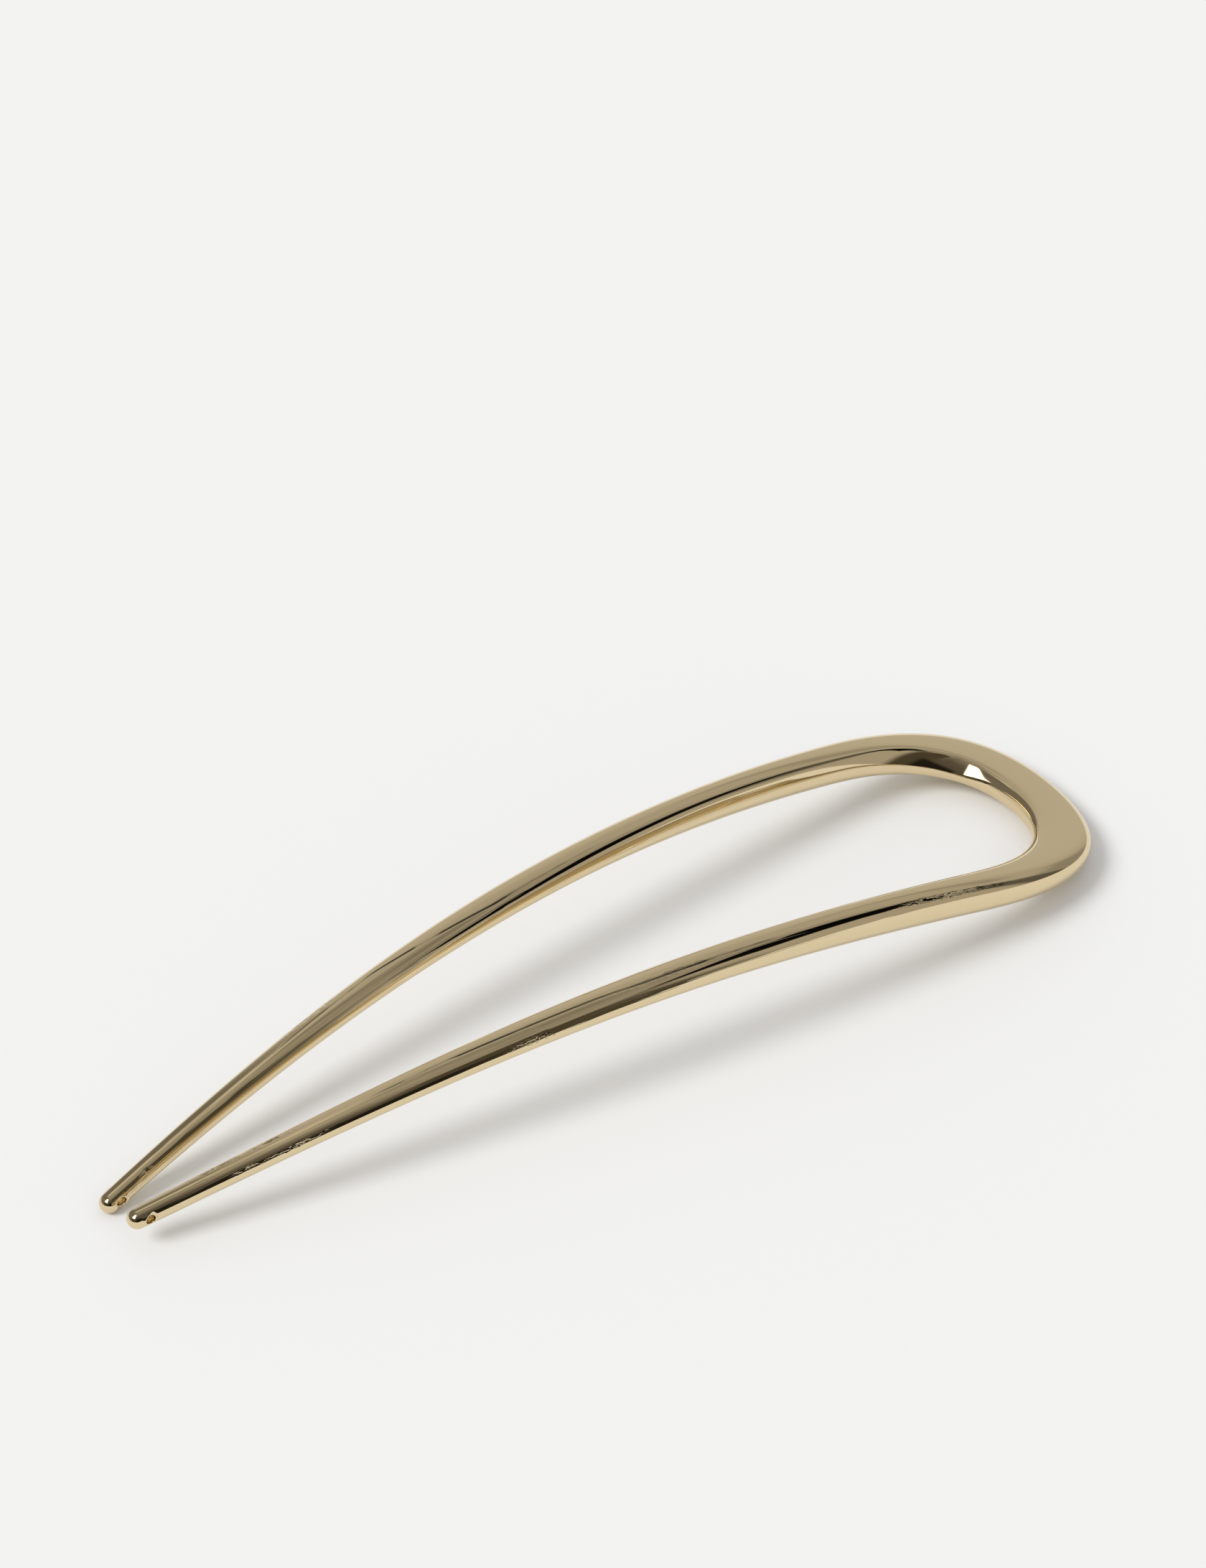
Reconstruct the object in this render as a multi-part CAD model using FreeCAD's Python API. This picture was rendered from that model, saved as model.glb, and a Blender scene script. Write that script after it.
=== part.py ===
"""A two-pronged hairpin, die cast in one piece in zinc alloy, polished and gold plated.

The pin lies as it does on a table: +X runs from the tips to the crown, +Y is the left side, +Z is up.
Its origin is the middle of its footprint, on the table. All sizes are in millimetres.

The casting is one continuous bar, swept round a U and arched along its length. Its section changes all the
way, from a wide, thin, flat-topped band at the crown to a plain ellipse and then a circle at the tips.
The bar is lofted in the regions that a maker would name. Two neighbours share the plane section where they
meet, face to face, so together the regions are exactly the casting.
"""
import FreeCAD
import Part

import math
import os

from FreeCAD import Vector

# The whole pin
OVERALL_LENGTH = 130.0          # from the crown's outer edge to the ends of the tips
ARCH_RISE = 10.5                # how far the middle of the arch stands above the left tip's centre
ARCH_HALF_WAVE = 155.0          # the arch is part of a cosine wave whose half wave is this long
RIGHT_TIP_LIFT = 2.5            # the casting's slight twist bends the right prong up by this much at its tip

# The centre line, seen from above: distance back from the crown's centre line, and half the span
CORNER_SETBACK = 3.0
CORNER_HALF_SPAN = 9.1
SHOULDER_SETBACK = 10.5
SHOULDER_HALF_SPAN = 13.3
FLANK_SETBACK = 22.0            # where the pin is widest
FLANK_HALF_SPAN = 14.0
MIDDLE_HALF_SPAN = 10.15        # half way from the flank to the tip, which gives the prongs their slight bow
LOWER_HALF_SPAN = 7.05          # half way from there to the tip
TIP_HALF_SPAN = 3.1

# The bar's section: width across the bar in plan, and thickness square to that
CROWN_WIDTH = 7.0
CROWN_THICKNESS = 3.3
CORNER_WIDTH = 7.1
CORNER_THICKNESS = 3.6
SHOULDER_WIDTH = 5.4
SHOULDER_THICKNESS = 4.1
FLANK_WIDTH = 4.4
FLANK_THICKNESS = 4.6
MIDDLE_WIDTH = 4.2
MIDDLE_THICKNESS = 3.0
LOWER_WIDTH = 3.35
LOWER_THICKNESS = 2.65
TIP_DIAMETER = 2.4

# How square the section is: 0.414 is a true ellipse, and 1 would be a sharp-cornered rectangle
CROWN_FULLNESS = 0.60
CORNER_FULLNESS = 0.57
SHOULDER_FULLNESS = 0.52
FLANK_FULLNESS = 0.46
MIDDLE_FULLNESS = 0.43
LOWER_FULLNESS = 0.42
ELLIPSE_FULLNESS = math.sqrt(2) - 1

# The hole through each tip, by which the pin hangs on a rack while it is plated
RACK_HOLE_DIAMETER = 1.1
RACK_HOLE_SETBACK = 2.25        # from the end of the tip to the middle of the hole
RACK_HOLE_LIP = 0.3             # radius of the rounded lip at each mouth of the hole
RACK_HOLE_CLEARANCE = 0.05      # how far the widest part of the flared core stays off the tip's side

# Where one region of the casting ends and the next begins, along the bar
CROWN_HALF_LENGTH = 7.5         # from the middle of the crown to each shoulder
SHOULDER_LENGTH = 27.0
TIP_LENGTH = 7.0                # from the end of the tip to the prong

# The bar is lofted straight from section to section. With these spans it keeps within 0.05 mm of the true curve
CROWN_SPANS = 17
SHOULDER_SPANS = 18
SHOULDER_SPAN_GROWTH = 1.4      # the spans are shortest in the corner and grow towards the prong; 1 is even
PRONG_SPANS = 14
TIP_SPANS = 4


def arch_amplitude():
    """Amplitude of the cosine wave that gives the arch its rise over the left prong's tip."""
    tip_angle = math.pi * tip_x() / ARCH_HALF_WAVE
    return ARCH_RISE / (1 - math.cos(tip_angle))


def tip_x():
    """X of the centres of the tips."""
    return -(OVERALL_LENGTH - TIP_DIAMETER) / 2


def crown_x():
    """X of the centre line in the middle of the crown, which slopes down with the arch."""
    return (OVERALL_LENGTH - CROWN_WIDTH) / 2


def stations():
    """The named stations of one side, from the middle of the crown to the tip.

    Each is a point of the centre line in plan and a section: half width, half thickness and fullness.
    """
    corner_x = crown_x() - CORNER_SETBACK
    shoulder_x = crown_x() - SHOULDER_SETBACK
    flank_x = crown_x() - FLANK_SETBACK
    middle_x = (flank_x + tip_x()) / 2
    lower_x = (middle_x + tip_x()) / 2
    points = [
        Vector(crown_x(), 0, 0),
        Vector(corner_x, CORNER_HALF_SPAN, 0),
        Vector(shoulder_x, SHOULDER_HALF_SPAN, 0),
        Vector(flank_x, FLANK_HALF_SPAN, 0),
        Vector(middle_x, MIDDLE_HALF_SPAN, 0),
        Vector(lower_x, LOWER_HALF_SPAN, 0),
        Vector(tip_x(), TIP_HALF_SPAN, 0),
    ]
    sections = [
        Vector(CROWN_WIDTH / 2, CROWN_THICKNESS / 2, CROWN_FULLNESS),
        Vector(CORNER_WIDTH / 2, CORNER_THICKNESS / 2, CORNER_FULLNESS),
        Vector(SHOULDER_WIDTH / 2, SHOULDER_THICKNESS / 2, SHOULDER_FULLNESS),
        Vector(FLANK_WIDTH / 2, FLANK_THICKNESS / 2, FLANK_FULLNESS),
        Vector(MIDDLE_WIDTH / 2, MIDDLE_THICKNESS / 2, MIDDLE_FULLNESS),
        Vector(LOWER_WIDTH / 2, LOWER_THICKNESS / 2, LOWER_FULLNESS),
        Vector(TIP_DIAMETER / 2, TIP_DIAMETER / 2, ELLIPSE_FULLNESS),
    ]
    return points, sections


class Bar:
    """The curved bar: its plan curve, its arch and twist, and its section at any distance from the crown.

    Distance is counted along the stations' chords. It is positive on the left prong and negative on the right.
    """

    def __init__(self):
        points, sections = stations()
        self.distances = [0.0]
        for start, end in zip(points, points[1:]):
            self.distances.append(self.distances[-1] + start.distanceToPoint(end))
        self.plan = self.spline([Vector(p.x, -p.y, 0) for p in points[:0:-1]] + points)
        self.law = self.spline(sections[:0:-1] + sections)
        self.twist_start = points[3].x

    def spline(self, points):
        """A smooth curve through points that stand at the stations of both prongs, tip to tip."""
        knots = [-d for d in self.distances[:0:-1]] + self.distances
        curve = Part.BSplineCurve()
        curve.interpolate(Points=points, Parameters=knots)
        return curve

    def centre(self, distance):
        """A point of the centre line."""
        point = self.plan.value(distance)
        wave = math.cos(math.pi * point.x / ARCH_HALF_WAVE)
        point.z = arch_amplitude() * (wave - 1)
        if distance < 0:
            reach = (self.twist_start - point.x) / (self.twist_start - tip_x())
            point.z += RIGHT_TIP_LIFT * max(reach, 0) ** 2
        return point

    def directions(self, distance):
        """Along the bar, across it and square to both, which is upwards."""
        step = 0.01
        along = (self.centre(distance + step) - self.centre(distance - step)).normalize()
        slope_angle = math.pi * self.plan.value(distance).x / ARCH_HALF_WAVE
        slope = -arch_amplitude() * math.pi / ARCH_HALF_WAVE * math.sin(slope_angle)
        arch_normal = Vector(-slope, 0, 1)
        across = arch_normal.cross(along).normalize()
        up = along.cross(across)
        return along, across, up

    def section(self, distance):
        """The closed section: four quarter arcs, conics of the fullness that the station asks for."""
        half_width, half_thickness, fullness = self.law.value(distance)
        centre = self.centre(distance)
        _, across, up = self.directions(distance)
        wide = across * half_width
        thick = up * half_thickness
        quarters = []
        for start, end in ((wide, thick), (thick, -wide), (-wide, -thick), (-thick, wide)):
            quarter = Part.BezierCurve()
            quarter.setPoles([centre + start, centre + start + end, centre + end])
            quarter.setWeight(2, fullness / (1 - fullness))
            quarters.append(quarter.toShape())
        return Part.Wire(quarters)


def loft(bar, start, end, spans, growth=1):
    """The bar from one distance to another, lofted over so many spans, even ones or growing ones."""
    distances = [start + (end - start) * (i / spans) ** growth for i in range(spans + 1)]
    return Part.makeLoft([bar.section(d) for d in distances], True, True)


def dome(bar, distance):
    """The half ball that ends a tip."""
    outwards = bar.directions(distance)[0] * math.copysign(1, distance)
    return Part.makeSphere(TIP_DIAMETER / 2, bar.centre(distance), outwards, 0, 90, 360)


def rack_hole_core(bar, distance):
    """The solid that the cross hole takes out of a tip: a bore whose mouths flare with a rounded lip."""
    radius = RACK_HOLE_DIAMETER / 2
    wide = radius + RACK_HOLE_LIP
    across = bar.directions(distance)[1]
    mouth = (bar.law.value(distance).x + wide * abs(across.x)) / abs(across.y) + RACK_HOLE_CLEARANCE
    neck = mouth - RACK_HOLE_LIP
    outside = mouth + TIP_DIAMETER
    lean = RACK_HOLE_LIP * math.sqrt(0.5)
    lines = []
    for start, end in (((0, -outside), (wide, -outside)), ((wide, -outside), (wide, -mouth)),
                       ((radius, -neck), (radius, neck)), ((wide, mouth), (wide, outside)),
                       ((wide, outside), (0, outside)), ((0, outside), (0, -outside))):
        lines.append(Part.LineSegment(Vector(*start, 0), Vector(*end, 0)).toShape())
    for side in (-1, 1):
        middle = Vector(wide - lean, side * (neck + lean), 0)
        lip = Part.Arc(Vector(radius, side * neck, 0), middle, Vector(wide, side * mouth, 0))
        lines.append(lip.toShape())
    profile = Part.Face(Part.Wire(Part.__sortEdges__(lines)))
    core = profile.revolve(Vector(), Vector(0, 1, 0), 360)
    core.translate(bar.centre(distance))
    return core


def lay_on_table(nodes, bar):
    """Pitches and moves the regions so that the crown and the left tip rest on the table."""
    tip_low = bar.centre(bar.distances[-1]).z - TIP_DIAMETER / 2
    crown_low = nodes["crown"].optimalBoundingBox(False).ZMin
    pitch = -math.degrees(math.asin((tip_low - crown_low) / OVERALL_LENGTH))
    turn = FreeCAD.Placement(Vector(), FreeCAD.Rotation(Vector(0, 1, 0), pitch))
    for shape in nodes.values():
        shape.transformShape(turn.toMatrix())
    footprint = Part.makeCompound(list(nodes.values())).optimalBoundingBox(False)
    shift = Vector(-footprint.Center.x, -footprint.Center.y, -footprint.ZMin)
    for shape in nodes.values():
        shape.translate(shift)
    return FreeCAD.Placement(shift, FreeCAD.Rotation()).multiply(turn)


def build_nodes():
    """Every region of the casting, by name, laid on the table."""
    bar = Bar()
    shoulder_start = CROWN_HALF_LENGTH
    prong_start = shoulder_start + SHOULDER_LENGTH
    tip_end = bar.distances[-1]
    tip_start = tip_end + TIP_DIAMETER / 2 - TIP_LENGTH
    hole = tip_end + TIP_DIAMETER / 2 - RACK_HOLE_SETBACK

    nodes = {"crown": loft(bar, -shoulder_start, shoulder_start, CROWN_SPANS)}
    for side, sign in (("left", 1), ("right", -1)):
        shoulder_end = sign * prong_start
        shoulder = loft(bar, sign * shoulder_start, shoulder_end, SHOULDER_SPANS, SHOULDER_SPAN_GROWTH)
        nodes[side + "_shoulder"] = shoulder
        nodes[side + "_prong"] = loft(bar, shoulder_end, sign * tip_start, PRONG_SPANS)
        tip = loft(bar, sign * tip_start, sign * tip_end, TIP_SPANS).fuse(dome(bar, sign * tip_end))
        nodes[side + "_tip"] = tip.cut(rack_hole_core(bar, sign * hole)).Solids[0]

    placement = lay_on_table(nodes, bar)
    for side, sign in (("left", 1), ("right", -1)):
        centre = placement.multVec(bar.centre(sign * hole))
        print(side, "rack hole at", [round(v, 3) for v in centre])
    return nodes


os.makedirs("parts", exist_ok=True)
for name, shape in build_nodes().items():
    shape.exportStep("parts/" + name + ".step")
    print(name, "valid" if shape.isValid() else "not valid", "volume", round(shape.Volume, 1))
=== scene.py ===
# %% [markdown]
# # A gold-plated hairpin
# The real thing is one casting of zinc alloy: a U with a broad, flat-topped crown and two long tapering
# prongs, arched to follow the head. It was tumbled and polished, hung on a wire through the holes in its
# tips, and plated in pale gold. Nothing on it is separate, so the looks are one continuous skin laid over
# the CAD regions, with a metal finish and soft studio light.

import math

import bmesh
import bpy
import numpy as np
from mathutils import Matrix, Vector


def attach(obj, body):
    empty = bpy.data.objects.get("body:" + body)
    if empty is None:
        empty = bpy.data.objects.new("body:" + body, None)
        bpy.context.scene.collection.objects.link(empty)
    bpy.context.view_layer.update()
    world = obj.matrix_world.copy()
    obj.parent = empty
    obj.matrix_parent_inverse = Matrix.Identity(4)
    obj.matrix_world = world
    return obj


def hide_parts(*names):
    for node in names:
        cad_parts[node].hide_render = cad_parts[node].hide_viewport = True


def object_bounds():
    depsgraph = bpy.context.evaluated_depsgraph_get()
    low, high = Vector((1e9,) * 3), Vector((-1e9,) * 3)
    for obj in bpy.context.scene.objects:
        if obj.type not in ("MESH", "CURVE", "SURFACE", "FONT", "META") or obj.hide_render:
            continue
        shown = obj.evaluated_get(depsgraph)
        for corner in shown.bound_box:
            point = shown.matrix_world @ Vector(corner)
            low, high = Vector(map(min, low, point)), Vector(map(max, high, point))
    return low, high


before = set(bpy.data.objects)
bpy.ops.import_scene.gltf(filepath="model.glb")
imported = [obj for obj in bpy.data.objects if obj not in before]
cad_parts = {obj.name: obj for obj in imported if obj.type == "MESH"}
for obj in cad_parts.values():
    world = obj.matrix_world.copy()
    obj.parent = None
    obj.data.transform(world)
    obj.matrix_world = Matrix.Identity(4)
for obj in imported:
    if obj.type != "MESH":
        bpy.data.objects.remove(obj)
cad_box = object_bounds()
MM = 0.001
print("CAD nodes:", sorted(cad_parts))
print("CAD box in mm:", [[round(v / MM, 2) for v in corner] for corner in cad_box])

# %% [markdown]
# ## The camera
# The pin was photographed from above, from the right prong's side and a little from its tips, and from far
# away with a long lens, so the perspective is weak. A camera in Blender looks along its own -Z, with +Y up,
# so its matrix has the view's right, up and back directions as its columns. They follow from three angles:
# azimuth, elevation and roll.

# %% Place the camera
VIEW_AZIMUTH = math.radians(-33.994)
VIEW_ELEVATION = math.radians(39.637)
VIEW_ROLL = math.radians(-0.277)
VIEW_PLACE = Vector((-0.27423, -0.40630, 0.43919))  # m
LENS = 132.0            # mm
SENSOR_HEIGHT = 36.0    # mm
NEAREST = 0.01          # m: the camera sees nothing closer
FARTHEST = 20.0         # m: nor anything beyond this


def view_matrix(azimuth, elevation, roll, place):
    """The camera's matrix. Azimuth 0 looks along +Y, and elevation is the height it looks down from."""
    level = math.cos(elevation)
    back = Vector((math.sin(azimuth) * level, -math.cos(azimuth) * level, math.sin(elevation)))
    right = Vector((0, 0, 1)).cross(back).normalized()
    turn = Matrix.Rotation(roll, 3, back)
    axes = turn @ Matrix((right, back.cross(right), back)).transposed()
    return Matrix.Translation(place) @ axes.to_4x4()


lens = bpy.data.cameras.new("camera")
lens.sensor_fit = "VERTICAL"
lens.sensor_height = SENSOR_HEIGHT
lens.lens = LENS
lens.clip_start = NEAREST
lens.clip_end = FARTHEST
camera = bpy.data.objects.new("camera", lens)
camera.matrix_world = view_matrix(VIEW_AZIMUTH, VIEW_ELEVATION, VIEW_ROLL, VIEW_PLACE)
bpy.context.scene.collection.objects.link(camera)
bpy.context.scene.camera = camera
print("camera is", round(VIEW_PLACE.length, 3), "m from the pin")

# %% [markdown]
# ## The line of the pin
# The pin is a bar that follows a curve. Seen from above, the curve goes through a few named stations on each
# side, from the middle of the crown to the tip, and a cubic spline joins them smoothly. A spline needs the
# slope at each station. Asking for no sudden change of bend at the inner stations gives a small set of
# equations, and the slope at each end is that of a cubic through its last four stations.

# %% Stations and splines
# The main sizes, in mm
OVERALL_LENGTH = 130.0
CROWN_X = 61.5          # the centre line's farthest point, at the crown
TIP_X = -63.8           # the centres of the round ends
ARCH_RISE = 10.5        # how far the centre line falls from its top to the tips
ARCH_HALF_WAVE = 155.0  # half a wave of the cosine that the arch follows
RIGHT_TIP_LIFT = 2.5    # how far the right tip is bent up
TIP_RADIUS = 1.2
# Each station: x and half span in mm, then the section's half width, half thickness and fullness
STATIONS = {
    "crown": (CROWN_X, 0.0, 3.5, 1.65, 0.60),
    "corner": (CROWN_X - 3.0, 9.1, 3.55, 1.8, 0.57),
    "shoulder": (CROWN_X - 10.5, 13.3, 2.7, 2.05, 0.52),
    "flank": (CROWN_X - 22.0, 14.0, 2.2, 2.3, 0.46),
    "middle": ((CROWN_X - 22.0 + TIP_X) / 2, 10.15, 2.1, 1.5, 0.43),
    "lower": ((CROWN_X - 22.0 + 3 * TIP_X) / 4, 7.05, 1.675, 1.325, 0.42),
    "tip": (TIP_X, 3.1, TIP_RADIUS, TIP_RADIUS, math.sqrt(2) - 1),
}
MIRROR = np.array([1, -1, 1, 1, 1])


def spline_slopes(knots, values):
    """The slopes at the knots that make the cubic pieces bend smoothly into each other."""
    count = len(knots)
    left = np.zeros((count, count))
    right = np.zeros_like(values)
    for end, near in ((0, slice(0, 4)), (count - 1, slice(count - 4, count))):
        left[end, end] = 1
        right[end] = np.polyfit(knots[near] - knots[end], values[near], 3)[2]
    for i in range(1, count - 1):
        before = knots[i] - knots[i - 1]
        after = knots[i + 1] - knots[i]
        left[i, i - 1:i + 2] = 1 / before, 2 / before + 2 / after, 1 / after
        rise = (values[i] - values[i - 1]) / before ** 2 + (values[i + 1] - values[i]) / after ** 2
        right[i] = 3 * rise
    return np.linalg.solve(left, right)


one_side = np.array(list(STATIONS.values()))
stations = np.vstack([one_side[:0:-1] * MIRROR, one_side])
chords = np.hypot(*np.diff(stations[:, :2], axis=0).T)
knots = np.concatenate([[0], np.cumsum(chords)])
knots -= knots[len(one_side) - 1]
slopes = spline_slopes(knots, stations)
BAR_END = knots[-1]
print("the bar is", round(2 * BAR_END, 1), "mm long between the centres of its tips")

# %% [markdown]
# ## Height and direction
# From the side the pin is part of a cosine wave, highest in the middle, and the right prong bends up a
# little towards its tip. At any point the bar needs three directions: along it, across it towards the inside
# of the U, and up, square to both. The section is drawn on the last two.

# %% A point of the bar and its directions
ARCH_AMPLITUDE = ARCH_RISE / (1 - math.cos(math.pi * TIP_X / ARCH_HALF_WAVE))
TWIST_START = STATIONS["flank"][0]
SIGHT = 0.01            # mm: the direction along the bar is taken between two points this far on either side


def along_bar(distance):
    """Plan point and section sizes at a distance from the crown's middle, negative on the right prong."""
    i = int(np.clip(np.searchsorted(knots, distance) - 1, 0, len(knots) - 2))
    step = knots[i + 1] - knots[i]
    t = (distance - knots[i]) / step
    ends = (1 + 2 * t) * (1 - t) ** 2 * stations[i] + t * t * (3 - 2 * t) * stations[i + 1]
    return ends + step * t * (1 - t) * ((1 - t) * slopes[i] - t * slopes[i + 1])


def centre(distance):
    """A point of the bar's centre line, in mm."""
    x, y = along_bar(distance)[:2]
    z = ARCH_AMPLITUDE * (math.cos(math.pi * x / ARCH_HALF_WAVE) - 1)
    if distance < 0:
        z += RIGHT_TIP_LIFT * max(0, (TWIST_START - x) / (TWIST_START - TIP_X)) ** 2
    return Vector((x, y, z))


def directions(distance):
    """Along the bar, across it towards the inside of the U, and up."""
    along = (centre(distance + SIGHT) - centre(distance - SIGHT)).normalized()
    angle = math.pi * centre(distance).x / ARCH_HALF_WAVE
    slope = -ARCH_AMPLITUDE * math.pi / ARCH_HALF_WAVE * math.sin(angle)
    across = Vector((-slope, 0, 1)).cross(along).normalized()
    return along, across, along.cross(across)


print("centre of the left tip:", [round(v, 2) for v in centre(BAR_END)])

# %% [markdown]
# ## The section
# Cut across, the bar is a soft rectangle at the crown and a circle at the tips. One family of curves
# covers both: a quarter arc whose middle is pulled towards the corner by its fullness. A fullness of 0.414
# is an ellipse, and more is squarer.

# %% A point of the section
def section_point(turn, half_width, half_thickness, fullness):
    """Across and up from the centre. Turn counts quarters: 0 is the inner side, 1 the top, 2 the outer."""
    quarter, t = divmod(turn, 1)
    pull = 2 * fullness / (1 - fullness) * t * (1 - t)
    share = (1 - t) ** 2 + pull + t ** 2
    x = ((1 - t) ** 2 + pull) / share
    y = (pull + t ** 2) / share
    for _ in range(int(quarter)):
        x, y = -y, x
    return x * half_width, y * half_thickness


crown_corner = section_point(0.5, *STATIONS["crown"][2:])
print("corner of the crown's section:", [round(v, 2) for v in crown_corner])

# %% [markdown]
# ## The skin
# It could be a bevelled curve, but a curve's section can't change from flat to round. So one circle of
# points is extruded from ring to ring, from one tip's pole round the crown to the other's. Each new ring is
# laid on the section at its place. Rings stand closer together at the tips, where the holes will be, and
# closest on the round ends. Each point keeps its distance along the bar and its place round it, for the
# metal's pattern.

# %% Where the rings stand
RING = 64               # points in a ring
RING_STEP = 1.1         # mm between rings along the crown and the prongs
TIP_STEP = 0.22         # mm between rings near the tips
TIP_ZONE = 5.0          # mm: the length of a tip whose rings stand so close
DOME_STEPS = 8          # steps from the edge of a round end to its pole


def ring_places():
    """Every ring as (distance, bulge): bulge is the angle round the ball where it is on a round end."""
    middle_end = BAR_END - TIP_ZONE
    spans = round(2 * middle_end / RING_STEP)
    tips = round(TIP_ZONE / TIP_STEP)
    middle = [-middle_end + 2 * middle_end * i / spans for i in range(spans + 1)]
    tip = [middle_end + TIP_ZONE * i / tips for i in range(1, tips + 1)]
    ball = [math.pi / 2 * i / DOME_STEPS for i in range(1, DOME_STEPS)]
    half = [(d, 0) for d in tip] + [(BAR_END, bulge) for bulge in ball]
    return [(-d, bulge) for d, bulge in half[::-1]] + [(d, 0) for d in middle] + half


places = ring_places()
print(len(places), "rings of", RING, "points")

# %% [markdown]
# ## The polished flat
# The wheel that polished the inside of the U left a narrow flat on its upper inner side. On the prongs it
# is about a millimetre wide and shows the other prong as an amber band. In the left corner of the crown it
# widens to a soft bevel. It is made as it was in the shop: a leaning plane cuts the section, and points
# beyond it go back to it.

# %% The section with its flat
# Distance from the middle of the crown in mm, negative on the right prong, then the plane's lean over
# upright in degrees and its depth in mm
FLATS = [
    (3.0 - BAR_END, 31, 0.0),
    (5.0 - BAR_END, 31, 0.045),
    (-110.0, 28, 0.05),
    (-90.0, 24, 0.06),
    (-60.0, 23, 0.09),
    (-36.0, 21, 0.09),
    (-24.0, 27, 0.09),
    (-15.0, 35, 0.0),
    (0.0, 38, 0.0),
    (5.0, 37, 0.10),
    (9.0, 36, 0.45),
    (12.0, 36, 0.50),
    (18.0, 33, 0.36),
    (26.0, 26, 0.12),
    (36.0, 21, 0.09),
    (45.0, 21, 0.10),
    (60.0, 23, 0.09),
    (90.0, 24, 0.06),
    (110.0, 28, 0.05),
    (BAR_END - 5.0, 31, 0.045),
    (BAR_END - 3.0, 31, 0.0),
]
BEVEL_PLACE = 12.0      # mm from the middle of the crown: the bevel is deepest here
BEVEL_SHARE = 0.75      # how far points beyond the plane go back to it, which leaves the bevel a bit round
FULL_FLAT = 45.0        # mm from the middle of the crown: from here on they go back all the way
SOFT_EDGE = 0.04        # mm: how soft the edges of the flat are


def ring_section(distance):
    """The points of the section at a distance along the bar, across and up from its centre, in mm."""
    spots, leans, depths = np.transpose(FLATS)
    lean = math.radians(np.interp(distance, spots, leans))
    depth = np.interp(distance, spots, depths)
    sizes = along_bar(distance)[2:]
    points = np.array([section_point(4 * place / RING, *sizes) for place in range(RING)])
    facing = np.array([math.cos(lean), math.sin(lean)])
    reach = points @ facing
    past = reach - reach.max() + depth
    # Negative distances past the plane become nearly 0, and the change at the plane is soft
    beyond = (past + np.hypot(past, min(depth, SOFT_EDGE))) / 2
    share = np.interp(abs(distance), [FULL_FLAT / 2, FULL_FLAT], [BEVEL_SHARE, 1])
    return points - share * np.outer(beyond, facing)


left_width = float(np.ptp(ring_section(BEVEL_PLACE)[:, 0]))
print("the bevel leaves", round(left_width, 2), "mm of the left corner's width")

# %% [markdown]
# ## Seams and pits
# Where the two halves of the mould met, the casting had a seam, and polishing left a fine groove of it along
# the top of each prong, with rows of tiny pits. Their places are kept on the points of the skin as two more
# layers, so that the metal's relief can follow them. A turn round the bar is stored as its cosine and sine,
# because a plain angle would jump somewhere on the way round.

# %% Where the seams and pits are
# Distance along the bar in mm, turn round it in quarters, and how much of the groove is left. The right
# prong comes first
SEAM = [
    (-106, 1.08, 0.0), (-102, 1.08, 0.5), (-97, 1.03, 1.0), (-88, 1.08, 1.0), (-78, 1.12, 0.8),
    (-72, 1.22, 0.8), (-65, 1.26, 1.0), (-60, 1.28, 0.6), (-54, 1.33, 0.0), (-36, 1.45, 0.0),
    (-33, 1.45, 0.6), (-29, 1.45, 0.5), (-22, 1.50, 0.0),
    (22, 0.80, 0.0), (60, 0.75, 0.0), (72, 0.72, 0.5), (78, 0.72, 1.0), (86, 0.90, 1.0),
    (95, 1.15, 1.0), (107, 1.00, 0.5), (112, 1.00, 0.0),
]
# Distance and turn of a patch of pits, then its half length and half width in mm
PIT_PATCHES = [
    (-124, 0.80, 2.2, 0.16), (-117.5, 0.80, 2.0, 0.16), (-121, 1.62, 1.5, 0.13), (-115, 1.65, 3.0, 0.16),
    (-86.5, 1.70, 2.0, 0.30), (-69, 1.24, 5.0, 0.20), (-33, 1.45, 4.0, 0.18),
    (103.5, 1.35, 2.5, 0.20), (129, 0.50, 0.5, 0.25),
]


def beside_seam(distance, turn):
    """Cosine and sine of the angle round the bar from the seam, and how much of the seam is left."""
    spots, turns, shares = np.transpose(SEAM)
    angle = math.pi / 2 * (turn - np.interp(distance, spots, turns))
    return math.cos(angle), math.sin(angle), float(np.interp(distance, spots, shares))


def pitted(distance, turn, half_width):
    """How pitted the skin is at a place, from 0 to 1."""
    quarter = half_width * math.pi / 2
    patches = [((distance - d) / length) ** 2 + ((turn - t) * quarter / width) ** 2
               for d, t, length, width in PIT_PATCHES]
    return math.exp(-min(patches))


print(len(SEAM), "places on the seams and", len(PIT_PATCHES), "patches of pits")

# %% Lay and extrude a ring
bm = bmesh.new()
place_mark = bm.verts.layers.int.new("place")
ring_mark = bm.verts.layers.int.new("ring")
grain_mark = bm.verts.layers.float_vector.new("grain")
seam_mark = bm.verts.layers.float_vector.new("seam")
pit_mark = bm.verts.layers.float.new("pitted")


def lay_ring(verts, index):
    """Moves a ring's points to their place, and marks them with its number and their place in the metal."""
    distance, bulge = places[index]
    along, across, up = directions(distance)
    section = ring_section(distance)
    half_width = along_bar(distance)[2]
    outwards = along * math.copysign(TIP_RADIUS * math.sin(bulge), distance)
    for v in verts:
        x, y = section[v[place_mark]]
        turn = 4 * v[place_mark] / RING
        v.co = centre(distance) + outwards + (across * x + up * y) * math.cos(bulge)
        v[ring_mark] = index
        v[grain_mark] = (distance, x, y)
        v[seam_mark] = beside_seam(distance, turn)
        v[pit_mark] = pitted(distance, turn, half_width)


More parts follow.
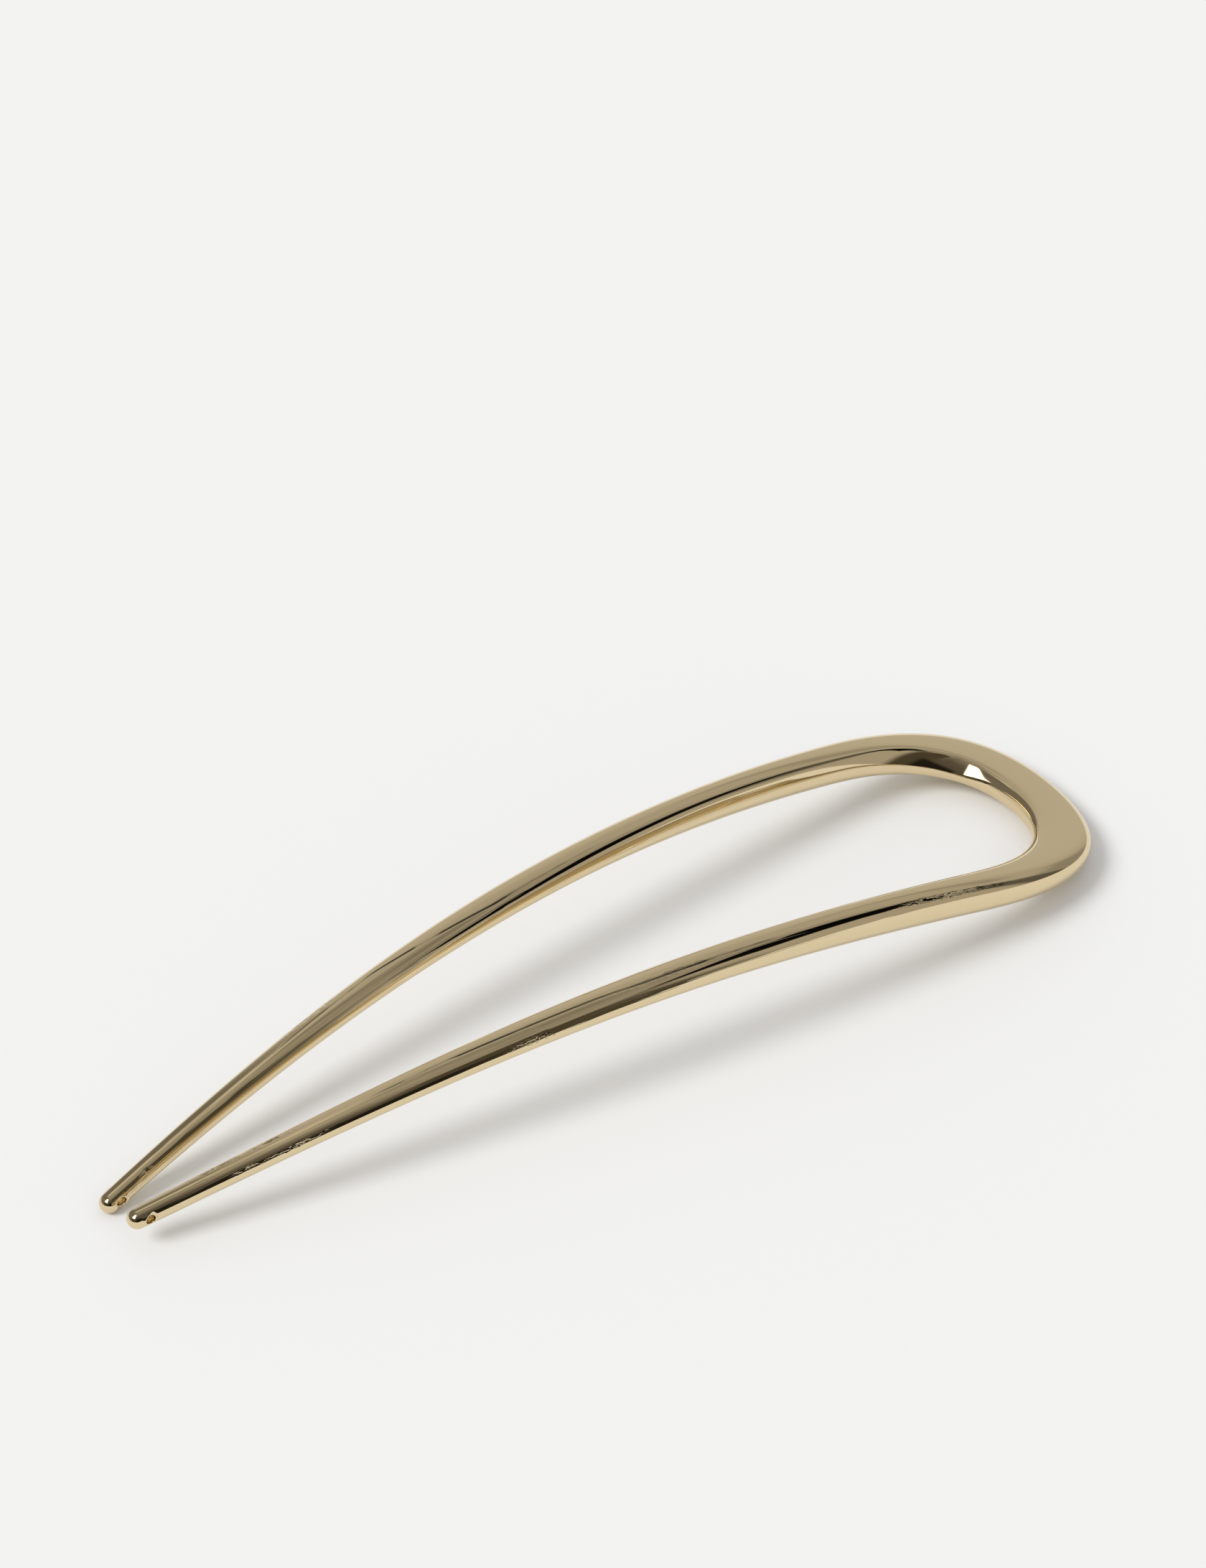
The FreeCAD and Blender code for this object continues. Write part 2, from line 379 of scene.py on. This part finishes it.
def extrude_ring(bm, edges):
    """Extrudes a closed ring of edges, and gives the new ring's points and edges."""
    made = bmesh.ops.extrude_edge_only(bm, edges=edges)["geom"]
    verts = [g for g in made if isinstance(g, bmesh.types.BMVert)]
    new = set(verts)
    edges = [g for g in made if isinstance(g, bmesh.types.BMEdge) and set(g.verts) <= new]
    return verts, edges


first = bmesh.ops.create_circle(bm, cap_ends=False, segments=RING, radius=1)["verts"]
for place, v in enumerate(first):
    v[place_mark] = place
lay_ring(first, 0)
print("first ring:", len(first), "points")

# %% Extrude the skin and close its ends
ring_edges = list(bm.edges)
for index in range(1, len(places)):
    ring_verts, ring_edges = extrude_ring(bm, ring_edges)
    lay_ring(ring_verts, index)
for verts, distance in ((first, -BAR_END), (ring_verts, BAR_END)):
    along = directions(distance)[0]
    pole = centre(distance) + along * math.copysign(TIP_RADIUS, distance)
    edges = [e for e in bm.edges if e.verts[0] in verts and e.verts[1] in verts]
    cap_verts = extrude_ring(bm, edges)[0]
    bmesh.ops.pointmerge(bm, verts=cap_verts, merge_co=pole)
print("skin:", len(bm.verts), "points,", len(bm.faces), "faces")

# %% [markdown]
# ## The rack holes
# Each tip is drilled across, and the wire that held the pin in the plating bath went through. A boolean
# would leave ragged shading round the mouths. Instead a block of faces is taken away on either side, its
# edge is drawn in to a circle on the skin, the lip is turned in from there, and a bore joins the two sides.

# %% Drill the rack holes
HOLE_RADIUS = 0.55      # mm
HOLE_LIP = 0.2          # mm: the radius of the lip
HOLE_SETBACK = 2.25     # mm from the end of the tip to the hole's middle
HOLE_RINGS = 4          # rings of the block on either side of the hole's middle
HOLE_PLACES = 8         # points of the block on either side of the hole's middle
LIP_STEPS = 3
hole_distance = BAR_END + TIP_RADIUS - HOLE_SETBACK


def block_round(bm, ring, place):
    """The faces close to a ring and to a place on it."""
    block = []
    for f in bm.faces:
        rings = [abs(v[ring_mark] - ring) for v in f.verts]
        turns = [abs((v[place_mark] - place + RING // 2) % RING - RING // 2) for v in f.verts]
        if max(rings) <= HOLE_RINGS and max(turns) <= HOLE_PLACES:
            block.append(f)
    return block


def drill_side(bm, block, middle, side):
    """Opens a mouth on the +Y or -Y side of a tip, turns its lip in, and gives the edges of the bore."""
    edges = [e for f in block for e in f.edges if sum(other in block for other in e.link_faces) == 1]
    bmesh.ops.delete(bm, geom=block, context="FACES_KEEP_BOUNDARY")
    tip_radius = along_bar(hole_distance)[2]
    for step in range(LIP_STEPS + 1):
        turn = math.pi / 2 * step / LIP_STEPS
        radius = HOLE_RADIUS + HOLE_LIP * (1 - math.sin(turn))
        sink = HOLE_LIP * (1 - math.cos(turn))
        verts, edges = extrude_ring(bm, edges)
        for v in verts:
            spoke = Vector((v.co.x - middle.x, 0, v.co.z - middle.z)).normalized() * radius
            height = math.sqrt(tip_radius ** 2 - spoke.z ** 2) - sink
            v.co = middle + spoke + Vector((0, side * height, 0))
    return edges


for sign in (-1, 1):
    middle = centre(sign * hole_distance)
    ring = min(range(len(places)), key=lambda i: abs(places[i][0] - sign * hole_distance) + places[i][1])
    mouths = []
    for place, side in ((0, -sign), (RING // 2, sign)):
        mouths += drill_side(bm, block_round(bm, ring, place), middle, side)
    bmesh.ops.bridge_loops(bm, edges=mouths)
print("drilled: now", len(bm.faces), "faces")

# %% [markdown]
# ## Lay the pin on the table
# The bar was drawn level with the top of the arch. It now tips by the small angle that lets both the crown
# and the left tip touch the table, and moves to where the CAD regions stand.

# %% Lay it down and make the object
CROWN_REST = 7.5        # mm along the bar from the crown's middle: it rests on its lowest point in here
SKIN_SHARE = 0.9998     # a hair small, so that the skin stays inside the CAD body's box
crown_verts = [v.co.z for v in bm.verts if abs(places[v[ring_mark]][0]) < CROWN_REST]
tip_low = centre(BAR_END).z - TIP_RADIUS
pitch = -math.asin((tip_low - min(crown_verts)) / OVERALL_LENGTH)
bmesh.ops.rotate(bm, verts=bm.verts, cent=Vector(), matrix=Matrix.Rotation(pitch, 3, "Y"))
bmesh.ops.scale(bm, verts=bm.verts, vec=Vector((MM, MM, MM)) * SKIN_SHARE)
corners = np.array([v.co for v in bm.verts])
low, high = corners.min(0), corners.max(0)
cad_low, cad_high = np.array(cad_box)
shift = (cad_low + cad_high - low - high) / 2
shift[2] = cad_low[2] - low[2]
bmesh.ops.translate(bm, verts=bm.verts, vec=Vector(shift))
bmesh.ops.recalc_face_normals(bm, faces=bm.faces)
skin_mesh = bpy.data.meshes.new("gold_skin")
bm.to_mesh(skin_mesh)
bm.free()
for polygon in skin_mesh.polygons:
    polygon.use_smooth = True
skin = bpy.data.objects.new("gold_skin", skin_mesh)
bpy.context.scene.collection.objects.link(skin)
finer = skin.modifiers.new("finer", "SUBSURF")
finer.levels = 1
finer.render_levels = 1
print("skin box in mm:", np.round((low + shift) / MM, 2), np.round((high + shift) / MM, 2))

# %% [markdown]
# ## The metal
# The casting is zinc alloy, buffed bright and flash-plated in pale gold. The plate reflects three quarters
# of the red light and two fifths of the blue, which makes it look like champagne, and buffing gives it sharp
# reflections. Colours are written as hex values, as a paint program shows them, and turned to linear light.
# One function adds every node, for this metal and for the light.

# %% Colours and nodes
def linear(hex_colour):
    """A colour written as sRGB hex, as linear red, green, blue and alpha."""
    values = [int(hex_colour[i:i + 2], 16) / 255 for i in (1, 3, 5)]
    values = [v / 12.92 if v <= 0.04045 else ((v + 0.055) / 1.055) ** 2.4 for v in values]
    return (*values, 1)


def add_node(tree, kind, settings=None):
    """Adds a node. A setting is one of its options, an input's value, or an output that feeds an input."""
    node = tree.nodes.new(kind)
    for name, value in (settings or {}).items():
        if isinstance(value, bpy.types.NodeSocket):
            tree.links.new(value, node.inputs[name])
        elif isinstance(name, int) or name in node.inputs:
            node.inputs[name].default_value = value
        else:
            setattr(node, name, value)
    return node


print("half grey is", round(linear("#808080")[0], 3), "of the light")

# %% Polished pale gold plate
GOLD = "#E3D0A9"
GOLD_ROUGHNESS = 0.06
gold = bpy.data.materials.new("polished_pale_gold_plate")
gold.use_nodes = True
tree = gold.node_tree
surface = tree.nodes["Principled BSDF"]
surface.inputs["Base Color"].default_value = linear(GOLD)
surface.inputs["Metallic"].default_value = 1.0
surface.inputs["Roughness"].default_value = GOLD_ROUGHNESS
print("it reflects", [round(v, 2) for v in linear(GOLD)[:3]], "of red, green and blue light")

# %% [markdown]
# ## What polishing and casting left
# Buffing drew fine lines along the prongs. The casting under the plate is never quite even, so reflections
# wander a little, and what is left of the seam and the pits is sunk in. Their colour is darkened there, a
# painted shade for the shade that falls in them.
# All of it could be painted, but noise gives as much of it as is needed. It reads each point's own distance
# along the bar, so the marks run with the metal, and it is stretched to the size that each mark has.

# %% Noise along the bar
def stretched_noise(tree, place, along, across, detail):
    """Noise whose features are so many mm long along the bar and so many mm wide across it."""
    stretch = (1 / along, 1 / across, 1 / across)
    scaled = add_node(tree, "ShaderNodeVectorMath", {"operation": "MULTIPLY", 0: place, 1: stretch})
    noise = {"Vector": scaled.outputs[0], "Scale": 1.0, "Detail": detail}
    return add_node(tree, "ShaderNodeTexNoise", noise).outputs["Fac"]


def near_level(tree, value, level, width):
    """1 where a value crosses a level and 0 further away, so that a noise draws a wandering line."""
    away = add_node(tree, "ShaderNodeMath", {"operation": "SUBTRACT", 0: value, 1: level})
    away = add_node(tree, "ShaderNodeMath", {"operation": "ABSOLUTE", 0: away.outputs[0]})
    fade = {"interpolation_type": "SMOOTHSTEP", "Value": away.outputs[0], "From Min": width, "From Max": 0.0}
    return add_node(tree, "ShaderNodeMapRange", fade).outputs["Result"]


grain = add_node(tree, "ShaderNodeAttribute", {"attribute_name": "grain"}).outputs["Vector"]
print("the noise follows the layer:", grain.node.attribute_name)

# %% Polishing lines
LINE_LENGTH = 40.0      # mm: a line runs this far along the bar
LINE_SPACING = 0.9      # mm: they stand this far apart, coarser than real ones so that they show
LINE_WIDTH = 0.035      # share of the noise's range
LINE_DEPTH = 0.006      # mm
NOISE_MIDDLE = 0.5      # noise goes from 0 to 1
SMOOTH_CROWN = 34.0     # mm from its middle, the crown has no lines
LINED_PRONG = 60.0      # mm: from here on the prongs have all of theirs
distance = add_node(tree, "ShaderNodeSeparateXYZ", {0: grain}).outputs["X"]
distance = add_node(tree, "ShaderNodeMath", {"operation": "ABSOLUTE", 0: distance}).outputs[0]
onset = {"Value": distance, "From Min": SMOOTH_CROWN, "From Max": LINED_PRONG}
lined = add_node(tree, "ShaderNodeMapRange", onset).outputs["Result"]
wander = stretched_noise(tree, grain, LINE_LENGTH, LINE_SPACING, detail=2.0)
lines = near_level(tree, wander, NOISE_MIDDLE, LINE_WIDTH)
lines = add_node(tree, "ShaderNodeMath", {"operation": "MULTIPLY", 0: lines, 1: lined}).outputs[0]
print("lines from", SMOOTH_CROWN, "mm on,", LINE_SPACING, "mm apart")

# %% Pits
PIT_LENGTH = 0.8        # mm: casting pits, along the bar
PIT_WIDTH = PIT_LENGTH / 3
PIT_DEPTH = 0.08        # mm
PIT_EDGE = 0.45         # the noise's value where a pit begins
PIT_FLOOR = 0.6         # and where it is at its deepest
grit = stretched_noise(tree, grain, PIT_LENGTH, PIT_WIDTH, detail=2.0)
steep = {"interpolation_type": "SMOOTHSTEP", "Value": grit, "From Min": PIT_EDGE, "From Max": PIT_FLOOR}
pits = add_node(tree, "ShaderNodeMapRange", steep).outputs["Result"]
patch = add_node(tree, "ShaderNodeAttribute", {"attribute_name": "pitted"}).outputs["Fac"]
pits = add_node(tree, "ShaderNodeMath", {"operation": "MULTIPLY", 0: pits, 1: patch}).outputs[0]
print("pits are", PIT_LENGTH, "by", round(PIT_WIDTH, 2), "mm")

# %% The seam's groove
SEAM_WIDTH = 0.11       # half the groove's width, as a share of the bar's half width
SEAM_DEPTH = 0.06       # mm
SEAM_BREAK = 7.0        # mm: the groove is polished away and comes back about this often
BREAK_START = 0.5       # the noise's value below which the groove gets fainter
BREAK_FLOOR = 0.42      # and where it is faintest
BREAK_LEFT = 0.25       # share of the groove that is left there
NEAR_SIDE = 0.5         # the sine is 0 on the far side of the bar too, but the cosine is below this there
seam = add_node(tree, "ShaderNodeAttribute", {"attribute_name": "seam"}).outputs["Vector"]
seam = add_node(tree, "ShaderNodeSeparateXYZ", {0: seam}).outputs
near = {"operation": "GREATER_THAN", 0: seam["X"], 1: NEAR_SIDE}
facing = add_node(tree, "ShaderNodeMath", near).outputs[0]
breaks = stretched_noise(tree, grain, SEAM_BREAK, SEAM_BREAK / 4, detail=3.0)
fading = {"Value": breaks, "From Min": BREAK_FLOOR, "From Max": BREAK_START, "To Min": BREAK_LEFT}
unbroken = add_node(tree, "ShaderNodeMapRange", fading).outputs["Result"]
groove = near_level(tree, seam["Y"], 0.0, SEAM_WIDTH)
for share in (facing, seam["Z"], unbroken):
    groove = add_node(tree, "ShaderNodeMath", {"operation": "MULTIPLY", 0: groove, 1: share}).outputs[0]
print("the groove is", SEAM_DEPTH, "mm deep")

# %% Painted shade in the groove and the pits
HOLLOW_SHADE = "#241E14"     # painted shade: the dark colour given to the groove and the pits
PIT_SHADE = 0.5       # share of a pit's floor that gets the painted shade
pit_shade = add_node(tree, "ShaderNodeMath", {"operation": "MULTIPLY", 0: pits, 1: PIT_SHADE}).outputs[0]
hollows = add_node(tree, "ShaderNodeMath", {"operation": "MAXIMUM", 0: pit_shade, 1: groove}).outputs[0]
# A Mix node has sockets for each kind of data: inputs 6 and 7 and output 2 are those for colours
# The colour is darkened in the groove and the pits: painted shade for the shade that falls in them
shade_mix = {"data_type": "RGBA", 0: hollows, 6: linear(GOLD), 7: linear(HOLLOW_SHADE)}
plate = add_node(tree, "ShaderNodeMix", shade_mix).outputs[2]
tree.links.new(plate, surface.inputs["Base Color"])
print("painted_shade covers up to", PIT_SHADE, "of a pit, and all of the groove")

# %% Relief
WAVE_LENGTH = 5.0       # mm: slow unevenness of the casting under the plate
WAVE_DEPTH = 0.018      # mm
waves = stretched_noise(tree, grain, 2 * WAVE_LENGTH, WAVE_LENGTH / 2, detail=1.0)
height = add_node(tree, "ShaderNodeMath", {"operation": "MULTIPLY", 0: waves, 1: WAVE_DEPTH}).outputs[0]
for dips, depth in ((lines, LINE_DEPTH), (pits, PIT_DEPTH), (groove, SEAM_DEPTH)):
    sink = add_node(tree, "ShaderNodeMath", {"operation": "MULTIPLY", 0: dips, 1: depth}).outputs[0]
    height = add_node(tree, "ShaderNodeMath", {"operation": "SUBTRACT", 0: height, 1: sink}).outputs[0]
relief = add_node(tree, "ShaderNodeBump", {"Height": height, "Distance": MM})
tree.links.new(relief.outputs["Normal"], surface.inputs["Normal"])
print("the metal has", len(tree.nodes), "nodes")

# %% Plate the pin
skin_mesh.materials.append(gold)
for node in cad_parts.values():
    node.data.materials.clear()
    node.data.materials.append(gold)

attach(skin, "root")
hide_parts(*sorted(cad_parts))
print("materials:", [m.name for m in bpy.data.materials])

# %% [markdown]
# ## The table and the light
# The photograph has a plain pale table that runs out of the picture, light from the tip end, about half
# way up the sky, and soft shadows. The table is uncoated paper, which scatters light evenly, so that the eye
# sees soft shadows on it and no gloss. A wide sun lamp lights all of it alike.

# %% The table
TABLE_COLOUR = "#F3F3F2"
TABLE_HALF = 3.0        # m
bm = bmesh.new()
bmesh.ops.create_grid(bm, x_segments=1, y_segments=1, size=TABLE_HALF)
table_mesh = bpy.data.meshes.new("table")
bm.to_mesh(table_mesh)
bm.free()
table = bpy.data.objects.new("table", table_mesh)
bpy.context.scene.collection.objects.link(table)
paper = bpy.data.materials.new("matt_white_paper")
paper.use_nodes = True
paper_surface = paper.node_tree.nodes["Principled BSDF"]
paper_surface.inputs["Base Color"].default_value = linear(TABLE_COLOUR)
paper_surface.inputs["Roughness"].default_value = 1.0
paper_surface.inputs["Specular IOR Level"].default_value = 0.0
table_mesh.materials.append(paper)
print("table is", 2 * TABLE_HALF, "m wide")

# %% The sun
SUN_SHARE = 0.36        # how much of the table's light comes from the lamp
SUN_TO = Vector((-0.97, 0.11, 1.0)).normalized()
SUN_ANGLE = math.radians(24)
lamp = bpy.data.lights.new("window_light", "SUN")
lamp.energy = math.pi * SUN_SHARE / SUN_TO.z
lamp.angle = SUN_ANGLE
sun = bpy.data.objects.new("window_light", lamp)
sun.visible_glossy = False
sun.matrix_world = SUN_TO.to_track_quat("Z", "Y").to_matrix().to_4x4()
bpy.context.scene.collection.objects.link(sun)
print("lamp strength", round(lamp.energy, 2))

# %% [markdown]
# ## The room that the metal mirrors
# Polished metal shows what stands round it more than its own colour. Boards on stands would do, as in a
# studio, but they would also shade the table. So they are painted on the part of the sky that only
# reflections see: grey walls and screens, a dim ceiling, a bright window beyond the tips, a black board
# beside the camera for the black streaks on the shoulders, and a dark room behind it for the dark band along
# the outer side of the right prong.

# %% Directions in the room
HALF_TURN = 180
world = bpy.data.worlds.new("studio")
world.use_nodes = True
bpy.context.scene.world = world
world.cycles.sampling_method = "NONE"
tree = world.node_tree
tree.nodes.clear()


def within(tree, value, start, end, soft):
    """1 where a value in degrees is between start and end, and 0 outside, with soft edges at both."""
    middle = (start + end) / 2
    turned = {"operation": "WRAP", 0: value, 1: middle + HALF_TURN, 2: middle - HALF_TURN}
    turned = add_node(tree, "ShaderNodeMath", turned)
    away = add_node(tree, "ShaderNodeMath", {"operation": "SUBTRACT", 0: turned.outputs[0], 1: middle})
    away = add_node(tree, "ShaderNodeMath", {"operation": "ABSOLUTE", 0: away.outputs[0]}).outputs[0]
    half = (end - start) / 2
    fade = {"interpolation_type": "SMOOTHSTEP", "From Min": half + soft, "From Max": half - soft}
    return add_node(tree, "ShaderNodeMapRange", fade | {"Value": away}).outputs["Result"]


gaze = add_node(tree, "ShaderNodeTexCoord").outputs["Generated"]
gaze = add_node(tree, "ShaderNodeSeparateXYZ", {0: gaze}).outputs
turn = add_node(tree, "ShaderNodeMath", {"operation": "ARCTAN2", 0: gaze["Y"], 1: gaze["X"]})
turn = add_node(tree, "ShaderNodeMath", {"operation": "DEGREES", 0: turn.outputs[0]}).outputs[0]
rise = add_node(tree, "ShaderNodeMath", {"operation": "ARCSINE", 0: gaze["Z"]})
rise = add_node(tree, "ShaderNodeMath", {"operation": "DEGREES", 0: rise.outputs[0]}).outputs[0]
print("nodes that give a ray's turn and rise:", len(tree.nodes))

# %% Walls, screens and boards
# The rest of the room gets lighter with height: the sine of the height and the colour there
HEIGHT_COLOURS = [
    (0.0, "#3F3B37"),
    (0.5, "#55514C"),
    (0.82, "#625E59"),
    (0.966, "#8B8882"),
    (1.0, "#ADAAA4"),
]
# Each panel: compass turn from and to, height from and to, soft edge, all in degrees, and its colour
PANELS = [
    ((-25, 88), (-15, 66), 9, "#B9B7B2"),       # a grey wall on the far side
    ((22, 80), (-15, 36), 12, "#C9C7C2"),       # its brightest part
    ((80, 112), (48, 78), 8, "#D6D3CD"),        # the glow beside the window
    ((85, 175), (-15, 58), 6, "#7A7773"),       # the shaded wall behind the tips
    ((-80, -42), (-20, 44), 7, "#B5B2AC"),      # a pale screen to the right of the camera
    ((-92, -5), (52, 76), 8, "#A29F9A"),        # the ceiling's edge over it
    ((-92, -68), (-15, 64), 4, "#4F4B41"),      # the edge of the dark room, where some light falls
    ((-130, -84), (-15, 35), 4, "#24211D"),     # the dark room behind the camera
    ((-39, -18), (-15, 30), 5, "#666360"),      # a gap between the screen and the wall
    ((-18, 14), (-15, 27), 5, "#9B9894"),       # the end wall, beyond the crown
    ((-5, 42), (38, 42), 3, "#A09D98"),         # a rail
    ((-60, -29), (31.5, 55), 1.0, "#0B0A0A"),   # a black board held beside the camera
]


def hang(tree, room, turns, rises, soft, colour):
    """The room with one more panel in it, from one turn to another and between two heights."""
    sideways = within(tree, turn, *turns, soft)
    upwards = within(tree, rise, *rises, soft)
    share = add_node(tree, "ShaderNodeMath", {"operation": "MULTIPLY", 0: sideways, 1: upwards}).outputs[0]
    return add_node(tree, "ShaderNodeMix", {"data_type": "RGBA", 0: share, 6: room, 7: colour}).outputs[2]


ramp = add_node(tree, "ShaderNodeValToRGB", {"Fac": gaze["Z"]})
while len(ramp.color_ramp.elements) < len(HEIGHT_COLOURS):
    ramp.color_ramp.elements.new(1.0)
for element, (place, colour) in zip(ramp.color_ramp.elements, HEIGHT_COLOURS):
    element.position = place
    element.color = linear(colour)
room = ramp.outputs["Color"]
for turns, rises, soft, colour in PANELS:
    room = hang(tree, room, turns, rises, soft, linear(colour))
print("the room has", len(PANELS), "panels")

# %% The window, and the whole sky
WINDOW_TURNS = (172, 213)
WINDOW_HEIGHTS = (34, 70)
WINDOW_EDGE = 2.5
WINDOW_GLOW = 3.0       # times as bright as white paper
SKY_COLOUR = "#FFFFFF"
daylight = (WINDOW_GLOW, WINDOW_GLOW, WINDOW_GLOW, 1)
room = hang(tree, room, WINDOW_TURNS, WINDOW_HEIGHTS, WINDOW_EDGE, daylight)
mirrored_sky = add_node(tree, "ShaderNodeBackground", {"Color": room})
plain_sky = add_node(tree, "ShaderNodeBackground", {"Color": linear(SKY_COLOUR), "Strength": 1 - SUN_SHARE})
rays = add_node(tree, "ShaderNodeLightPath").outputs
mirrors = {"operation": "MAXIMUM", 0: rays["Is Glossy Ray"], 1: rays["Is Transmission Ray"]}
mirrors = add_node(tree, "ShaderNodeMath", mirrors).outputs[0]
skies = {0: mirrors, 1: plain_sky.outputs[0], 2: mirrored_sky.outputs[0]}
whole_sky = add_node(tree, "ShaderNodeMixShader", skies)
add_node(tree, "ShaderNodeOutputWorld", {"Surface": whole_sky.outputs[0]})
print("sky nodes:", len(tree.nodes))

# %% Show colours as they are written, and update the scene
bpy.context.scene.view_settings.view_transform = "Standard"
bpy.context.view_layer.update()
